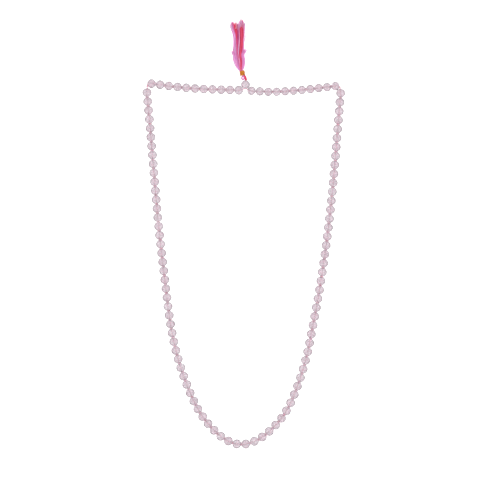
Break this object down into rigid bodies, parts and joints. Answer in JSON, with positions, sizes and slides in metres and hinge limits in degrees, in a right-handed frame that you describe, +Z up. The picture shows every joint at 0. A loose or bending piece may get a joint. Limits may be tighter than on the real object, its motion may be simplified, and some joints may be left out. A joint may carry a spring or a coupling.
{
  "type": "mala prayer beads",
  "caption": "Rose quartz mala laid flat: a knotted loop of round beads, a guru bead and a silk tassel bound with gold thread.",
  "frame": {"origin": "the point on the table under the middle of the guru bead, where its underside rests", "axes": "+Y along the tassel, away from the loop; +X to the loop's right side; +Z up from the table"},
  "size_m": [0.1935, 0.4087, 0.008],
  "materials": {
    "rose_quartz": "polished, milky and slightly translucent",
    "red_thread": "soft silk thread",
    "lavender_thread": "soft silk thread",
    "gold_thread": "wound metallic thread"
  },
  "bodies": {
    "guru": {"guru_bead": "rose_quartz"},
    "right_pair_01": {"right_pair_01": "rose_quartz"},
    "right_pair_02": {"right_pair_02": "rose_quartz"},
    "right_pair_03": {"right_pair_03": "rose_quartz"},
    "right_pair_04": {"right_pair_04": "rose_quartz"},
    "right_pair_05": {"right_pair_05": "rose_quartz"},
    "right_pair_06": {"right_pair_06": "rose_quartz"},
    "right_pair_07": {"right_pair_07": "rose_quartz"},
    "right_pair_08": {"right_pair_08": "rose_quartz"},
    "right_pair_09": {"right_pair_09": "rose_quartz"},
    "right_pair_10": {"right_pair_10": "rose_quartz"},
    "right_pair_11": {"right_pair_11": "rose_quartz"},
    "right_pair_12": {"right_pair_12": "rose_quartz"},
    "right_pair_13": {"right_pair_13": "rose_quartz"},
    "right_pair_14": {"right_pair_14": "rose_quartz"},
    "right_pair_15": {"right_pair_15": "rose_quartz"},
    "right_pair_16": {"right_pair_16": "rose_quartz"},
    "right_pair_17": {"right_pair_17": "rose_quartz"},
    "right_pair_18": {"right_pair_18": "rose_quartz"},
    "right_pair_19": {"right_pair_19": "rose_quartz"},
    "right_pair_20": {"right_pair_20": "rose_quartz"},
    "right_pair_21": {"right_pair_21": "rose_quartz"},
    "right_pair_22": {"right_pair_22": "rose_quartz"},
    "right_pair_23": {"right_pair_23": "rose_quartz"},
    "right_pair_24": {"right_pair_24": "rose_quartz"},
    "right_pair_25": {"right_pair_25": "rose_quartz"},
    "right_pair_26": {"right_pair_26": "rose_quartz"},
    "right_pair_27": {"right_pair_27": "rose_quartz"},
    "left_pair_01": {"left_pair_01": "rose_quartz"},
    "left_pair_02": {"left_pair_02": "rose_quartz"},
    "left_pair_03": {"left_pair_03": "rose_quartz"},
    "left_pair_04": {"left_pair_04": "rose_quartz"},
    "left_pair_05": {"left_pair_05": "rose_quartz"},
    "left_pair_06": {"left_pair_06": "rose_quartz"},
    "left_pair_07": {"left_pair_07": "rose_quartz"},
    "left_pair_08": {"left_pair_08": "rose_quartz"},
    "left_pair_09": {"left_pair_09": "rose_quartz"},
    "left_pair_10": {"left_pair_10": "rose_quartz"},
    "left_pair_11": {"left_pair_11": "rose_quartz"},
    "left_pair_12": {"left_pair_12": "rose_quartz"},
    "left_pair_13": {"left_pair_13": "rose_quartz"},
    "left_pair_14": {"left_pair_14": "rose_quartz"},
    "left_pair_15": {"left_pair_15": "rose_quartz"},
    "left_pair_16": {"left_pair_16": "rose_quartz"},
    "left_pair_17": {"left_pair_17": "rose_quartz"},
    "left_pair_18": {"left_pair_18": "rose_quartz"},
    "left_pair_19": {"left_pair_19": "rose_quartz"},
    "left_pair_20": {"left_pair_20": "rose_quartz"},
    "left_pair_21": {"left_pair_21": "rose_quartz"},
    "left_pair_22": {"left_pair_22": "rose_quartz"},
    "left_pair_23": {"left_pair_23": "rose_quartz"},
    "left_pair_24": {"left_pair_24": "rose_quartz"},
    "left_pair_25": {"left_pair_25": "rose_quartz"},
    "left_pair_26": {"left_pair_26": "rose_quartz"},
    "left_pair_27": {"left_pair_27": "rose_quartz"},
    "tassel_neck": {"tassel_cord": "red_thread", "gold_binding": "gold_thread"},
    "tassel_skirt": {"skirt_core": "red_thread"},
    "tassel_left": {"skirt_left": "lavender_thread"},
    "tassel_right": {"skirt_right": "lavender_thread"}
  },
  "joints": [
    {"name": "right_knot_01", "type": "hinge", "parent": "guru", "child": "right_pair_01", "pos_m": [0.0009, -0.00357, 0.00395], "axis": [0, 0, 1], "range_deg": [-10, 10]},
    {"name": "right_knot_02", "type": "hinge", "parent": "right_pair_01", "child": "right_pair_02", "pos_m": [0.01791, -0.0067, 0.00395], "axis": [0, 1, 0], "range_deg": [-15, 15]},
    {"name": "right_knot_03", "type": "hinge", "parent": "right_pair_02", "child": "right_pair_03", "pos_m": [0.03403, -0.00648, 0.00395], "axis": [0, -1, 0], "range_deg": [-15, 15]},
    {"name": "right_knot_04", "type": "hinge", "parent": "right_pair_03", "child": "right_pair_04", "pos_m": [0.05011, -0.00517, 0.00395], "axis": [0, 0, 1], "range_deg": [-1.6, 1.6]},
    {"name": "right_knot_05", "type": "hinge", "parent": "right_pair_04", "child": "right_pair_05", "pos_m": [0.06614, -0.00342, 0.00395], "axis": [0, 1, 0], "range_deg": [-15, 15]},
    {"name": "right_knot_06", "type": "hinge", "parent": "right_pair_05", "child": "right_pair_06", "pos_m": [0.08213, -0.0011, 0.00395], "axis": [0, -1, 0], "range_deg": [-15, 15]},
    {"name": "right_knot_07", "type": "hinge", "parent": "right_pair_06", "child": "right_pair_07", "pos_m": [0.09117, -0.01193, 0.00395], "axis": [0, 0, 1], "range_deg": [-21, 21]},
    {"name": "right_knot_08", "type": "hinge", "parent": "right_pair_07", "child": "right_pair_08", "pos_m": [0.08956, -0.0291, 0.00395], "axis": [1, 0, 0], "range_deg": [-30, 30]},
    {"name": "right_knot_09", "type": "hinge", "parent": "right_pair_08", "child": "right_pair_09", "pos_m": [0.08827, -0.04628, 0.00395], "axis": [-1, 0, 0], "range_deg": [-30, 30]},
    {"name": "right_knot_10", "type": "hinge", "parent": "right_pair_09", "child": "right_pair_10", "pos_m": [0.08705, -0.06345, 0.00395], "axis": [1, 0, 0], "range_deg": [-30, 30]},
    {"name": "right_knot_11", "type": "hinge", "parent": "right_pair_10", "child": "right_pair_11", "pos_m": [0.08573, -0.08062, 0.00395], "axis": [-1, 0, 0], "range_deg": [-30, 30]},
    {"name": "right_knot_12", "type": "hinge", "parent": "right_pair_11", "child": "right_pair_12", "pos_m": [0.08425, -0.09778, 0.00395], "axis": [0, 0, 1], "range_deg": [-8.7, 8.7]},
    {"name": "right_knot_13", "type": "hinge", "parent": "right_pair_12", "child": "right_pair_13", "pos_m": [0.08269, -0.11493, 0.00395], "axis": [1, 0, 0], "range_deg": [-30, 30]},
    {"name": "right_knot_14", "type": "hinge", "parent": "right_pair_13", "child": "right_pair_14", "pos_m": [0.08094, -0.13206, 0.00395], "axis": [-1, 0, 0], "range_deg": [-30, 30]},
    {"name": "right_knot_15", "type": "hinge", "parent": "right_pair_14", "child": "right_pair_15", "pos_m": [0.07892, -0.14916, 0.00395], "axis": [1, 0, 0], "range_deg": [-30, 30]},
    {"name": "right_knot_16", "type": "hinge", "parent": "right_pair_15", "child": "right_pair_16", "pos_m": [0.07669, -0.16623, 0.00395], "axis": [-1, 0, 0], "range_deg": [-30, 30]},
    {"name": "right_knot_17", "type": "hinge", "parent": "right_pair_16", "child": "right_pair_17", "pos_m": [0.07428, -0.18329, 0.00395], "axis": [0, 0, 1], "range_deg": [-8.7, 8.7]},
    {"name": "right_knot_18", "type": "hinge", "parent": "right_pair_17", "child": "right_pair_18", "pos_m": [0.07165, -0.2003, 0.00395], "axis": [1, 0, 0], "range_deg": [-30, 30]},
    {"name": "right_knot_19", "type": "hinge", "parent": "right_pair_18", "child": "right_pair_19", "pos_m": [0.06875, -0.21728, 0.00395], "axis": [-1, 0, 0], "range_deg": [-30, 30]},
    {"name": "right_knot_20", "type": "hinge", "parent": "right_pair_19", "child": "right_pair_20", "pos_m": [0.06565, -0.23422, 0.00395], "axis": [1, 0, 0], "range_deg": [-30, 30]},
    {"name": "right_knot_21", "type": "hinge", "parent": "right_pair_20", "child": "right_pair_21", "pos_m": [0.06245, -0.25114, 0.00395], "axis": [-1, 0, 0], "range_deg": [-30, 30]},
    {"name": "right_knot_22", "type": "hinge", "parent": "right_pair_21", "child": "right_pair_22", "pos_m": [0.05845, -0.26788, 0.00395], "axis": [0, 0, 1], "range_deg": [-8.7, 8.7]},
    {"name": "right_knot_23", "type": "hinge", "parent": "right_pair_22", "child": "right_pair_23", "pos_m": [0.05342, -0.28435, 0.00395], "axis": [1, 0, 0], "range_deg": [-30, 30]},
    {"name": "right_knot_24", "type": "hinge", "parent": "right_pair_23", "child": "right_pair_24", "pos_m": [0.04735, -0.30047, 0.00395], "axis": [-1, 0, 0], "range_deg": [-30, 30]},
    {"name": "right_knot_25", "type": "hinge", "parent": "right_pair_24", "child": "right_pair_25", "pos_m": [0.03942, -0.31574, 0.00395], "axis": [0, 0, 1], "range_deg": [-4.8, 4.8]},
    {"name": "right_knot_26", "type": "hinge", "parent": "right_pair_25", "child": "right_pair_26", "pos_m": [0.02843, -0.32898, 0.00395], "axis": [0.7071, -0.7071, 0], "range_deg": [-25, 25]},
    {"name": "right_knot_27", "type": "hinge", "parent": "right_pair_26", "child": "right_pair_27", "pos_m": [0.015, -0.33972, 0.00395], "axis": [-0.5, 0.866, 0], "range_deg": [-25, 25]},
    {"name": "left_knot_01", "type": "hinge", "parent": "guru", "child": "left_pair_01", "pos_m": [-0.0009, -0.00357, 0.00395], "axis": [0, 0, 1], "range_deg": [-9.6, 9.6]},
    {"name": "left_knot_02", "type": "hinge", "parent": "left_pair_01", "child": "left_pair_02", "pos_m": [-0.01902, -0.0052, 0.00395], "axis": [0, -1, 0], "range_deg": [-15, 15]},
    {"name": "left_knot_03", "type": "hinge", "parent": "left_pair_02", "child": "left_pair_03", "pos_m": [-0.03578, -0.00475, 0.00395], "axis": [0, 1, 0], "range_deg": [-15, 15]},
    {"name": "left_knot_04", "type": "hinge", "parent": "left_pair_03", "child": "left_pair_04", "pos_m": [-0.05253, -0.00388, 0.00395], "axis": [0, 0, 1], "range_deg": [-1.5, 1.5]},
    {"name": "left_knot_05", "type": "hinge", "parent": "left_pair_04", "child": "left_pair_05", "pos_m": [-0.06924, -0.00239, 0.00395], "axis": [0, -1, 0], "range_deg": [-15, 15]},
    {"name": "left_knot_06", "type": "hinge", "parent": "left_pair_05", "child": "left_pair_06", "pos_m": [-0.08587, -0.00002, 0.00395], "axis": [0, 1, 0], "range_deg": [-15, 15]},
    {"name": "left_knot_07", "type": "hinge", "parent": "left_pair_06", "child": "left_pair_07", "pos_m": [-0.09417, -0.01271, 0.00395], "axis": [0, 0, 1], "range_deg": [-20.6, 20.6]},
    {"name": "left_knot_08", "type": "hinge", "parent": "left_pair_07", "child": "left_pair_08", "pos_m": [-0.09219, -0.02977, 0.00395], "axis": [1, 0, 0], "range_deg": [-30, 30]},
    {"name": "left_knot_09", "type": "hinge", "parent": "left_pair_08", "child": "left_pair_09", "pos_m": [-0.09055, -0.04684, 0.00395], "axis": [-1, 0, 0], "range_deg": [-30, 30]},
    {"name": "left_knot_10", "type": "hinge", "parent": "left_pair_09", "child": "left_pair_10", "pos_m": [-0.089, -0.06392, 0.00395], "axis": [1, 0, 0], "range_deg": [-30, 30]},
    {"name": "left_knot_11", "type": "hinge", "parent": "left_pair_10", "child": "left_pair_11", "pos_m": [-0.08744, -0.081, 0.00395], "axis": [-1, 0, 0], "range_deg": [-30, 30]},
    {"name": "left_knot_12", "type": "hinge", "parent": "left_pair_11", "child": "left_pair_12", "pos_m": [-0.08585, -0.09807, 0.00395], "axis": [0, 0, 1], "range_deg": [-8.7, 8.7]},
    {"name": "left_knot_13", "type": "hinge", "parent": "left_pair_12", "child": "left_pair_13", "pos_m": [-0.08425, -0.11515, 0.00395], "axis": [1, 0, 0], "range_deg": [-30, 30]},
    {"name": "left_knot_14", "type": "hinge", "parent": "left_pair_13", "child": "left_pair_14", "pos_m": [-0.08253, -0.13221, 0.00395], "axis": [-1, 0, 0], "range_deg": [-30, 30]},
    {"name": "left_knot_15", "type": "hinge", "parent": "left_pair_14", "child": "left_pair_15", "pos_m": [-0.08059, -0.14925, 0.00395], "axis": [1, 0, 0], "range_deg": [-30, 30]},
    {"name": "left_knot_16", "type": "hinge", "parent": "left_pair_15", "child": "left_pair_16", "pos_m": [-0.07849, -0.16627, 0.00395], "axis": [-1, 0, 0], "range_deg": [-30, 30]},
    {"name": "left_knot_17", "type": "hinge", "parent": "left_pair_16", "child": "left_pair_17", "pos_m": [-0.0763, -0.18328, 0.00395], "axis": [0, 0, 1], "range_deg": [-8.7, 8.7]},
    {"name": "left_knot_18", "type": "hinge", "parent": "left_pair_17", "child": "left_pair_18", "pos_m": [-0.07414, -0.20029, 0.00395], "axis": [1, 0, 0], "range_deg": [-30, 30]},
    {"name": "left_knot_19", "type": "hinge", "parent": "left_pair_18", "child": "left_pair_19", "pos_m": [-0.07195, -0.2173, 0.00395], "axis": [-1, 0, 0], "range_deg": [-30, 30]},
    {"name": "left_knot_20", "type": "hinge", "parent": "left_pair_19", "child": "left_pair_20", "pos_m": [-0.06924, -0.23423, 0.00395], "axis": [1, 0, 0], "range_deg": [-30, 30]},
    {"name": "left_knot_21", "type": "hinge", "parent": "left_pair_20", "child": "left_pair_21", "pos_m": [-0.06573, -0.25102, 0.00395], "axis": [-1, 0, 0], "range_deg": [-30, 30]},
    {"name": "left_knot_22", "type": "hinge", "parent": "left_pair_21", "child": "left_pair_22", "pos_m": [-0.06118, -0.26755, 0.00395], "axis": [0, 0, 1], "range_deg": [-8.7, 8.7]},
    {"name": "left_knot_23", "type": "hinge", "parent": "left_pair_22", "child": "left_pair_23", "pos_m": [-0.05554, -0.28374, 0.00395], "axis": [1, 0, 0], "range_deg": [-30, 30]},
    {"name": "left_knot_24", "type": "hinge", "parent": "left_pair_23", "child": "left_pair_24", "pos_m": [-0.04898, -0.29958, 0.00395], "axis": [-1, 0, 0], "range_deg": [-30, 30]},
    {"name": "left_knot_25", "type": "hinge", "parent": "left_pair_24", "child": "left_pair_25", "pos_m": [-0.04099, -0.31475, 0.00395], "axis": [0, 0, 1], "range_deg": [-4.8, 4.8]},
    {"name": "left_knot_26", "type": "hinge", "parent": "left_pair_25", "child": "left_pair_26", "pos_m": [-0.03046, -0.32827, 0.00395], "axis": [0.7071, 0.7071, 0], "range_deg": [-25, 25]},
    {"name": "left_knot_27", "type": "hinge", "parent": "left_pair_26", "child": "left_pair_27", "pos_m": [-0.01757, -0.33955, 0.00395], "axis": [-0.5, -0.866, 0], "range_deg": [-25, 25]},
    {"name": "tassel_lift", "type": "hinge", "parent": "guru", "child": "tassel_neck", "pos_m": [0.0008, 0.0053, 0.004], "axis": [1, 0, 0], "range_deg": [-90, 90]},
    {"name": "tassel_swing", "type": "hinge", "parent": "tassel_neck", "child": "tassel_skirt", "pos_m": [-0.004, 0.014, 0.0025], "axis": [0, 0, 1], "range_deg": [-15, 15]},
    {"name": "skirt_spread", "type": "hinge", "parent": "tassel_skirt", "child": "tassel_left", "pos_m": [-0.004, 0.014, 0.0025], "axis": [0, 0, 1], "range_deg": [0, 12]},
    {"name": "skirt_spread_right", "type": "hinge", "parent": "tassel_skirt", "child": "tassel_right", "pos_m": [-0.004, 0.014, 0.0025], "axis": [0, 0, -1], "range_deg": [0, 12]}
  ],
  "couplings": [
    {"joint": "right_knot_04", "follows": "right_knot_01", "ratio": -0.15},
    {"joint": "right_knot_07", "follows": "right_knot_01", "ratio": -2.0904},
    {"joint": "right_knot_12", "follows": "right_knot_01", "ratio": 0.8647},
    {"joint": "right_knot_17", "follows": "right_knot_01", "ratio": 0.8647},
    {"joint": "right_knot_22", "follows": "right_knot_01", "ratio": 0.8647},
    {"joint": "right_knot_25", "follows": "right_knot_01", "ratio": -0.47381},
    {"joint": "left_knot_01", "follows": "right_knot_01", "ratio": -0.95052},
    {"joint": "left_knot_02", "follows": "right_knot_02", "ratio": 1},
    {"joint": "left_knot_03", "follows": "right_knot_03", "ratio": 1},
    {"joint": "left_knot_04", "follows": "right_knot_01", "ratio": 0.14258},
    {"joint": "left_knot_05", "follows": "right_knot_05", "ratio": 1},
    {"joint": "left_knot_06", "follows": "right_knot_06", "ratio": 1},
    {"joint": "left_knot_07", "follows": "right_knot_01", "ratio": 2.0516},
    {"joint": "left_knot_08", "follows": "right_knot_08", "ratio": 1},
    {"joint": "left_knot_09", "follows": "right_knot_09", "ratio": 1},
    {"joint": "left_knot_10", "follows": "right_knot_10", "ratio": 1},
    {"joint": "left_knot_11", "follows": "right_knot_11", "ratio": 1},
    {"joint": "left_knot_12", "follows": "right_knot_01", "ratio": -0.86566},
    {"joint": "left_knot_13", "follows": "right_knot_13", "ratio": 1},
    {"joint": "left_knot_14", "follows": "right_knot_14", "ratio": 1},
    {"joint": "left_knot_15", "follows": "right_knot_15", "ratio": 1},
    {"joint": "left_knot_16", "follows": "right_knot_16", "ratio": 1},
    {"joint": "left_knot_17", "follows": "right_knot_01", "ratio": -0.86566},
    {"joint": "left_knot_18", "follows": "right_knot_18", "ratio": 1},
    {"joint": "left_knot_19", "follows": "right_knot_19", "ratio": 1},
    {"joint": "left_knot_20", "follows": "right_knot_20", "ratio": 1},
    {"joint": "left_knot_21", "follows": "right_knot_21", "ratio": 1},
    {"joint": "left_knot_22", "follows": "right_knot_01", "ratio": -0.86566},
    {"joint": "left_knot_23", "follows": "right_knot_23", "ratio": 1},
    {"joint": "left_knot_24", "follows": "right_knot_24", "ratio": 1},
    {"joint": "left_knot_25", "follows": "right_knot_01", "ratio": 0.47366},
    {"joint": "left_knot_26", "follows": "right_knot_26", "ratio": 1},
    {"joint": "left_knot_27", "follows": "right_knot_27", "ratio": 1},
    {"joint": "skirt_spread_right", "follows": "skirt_spread", "ratio": 1}
  ]
}
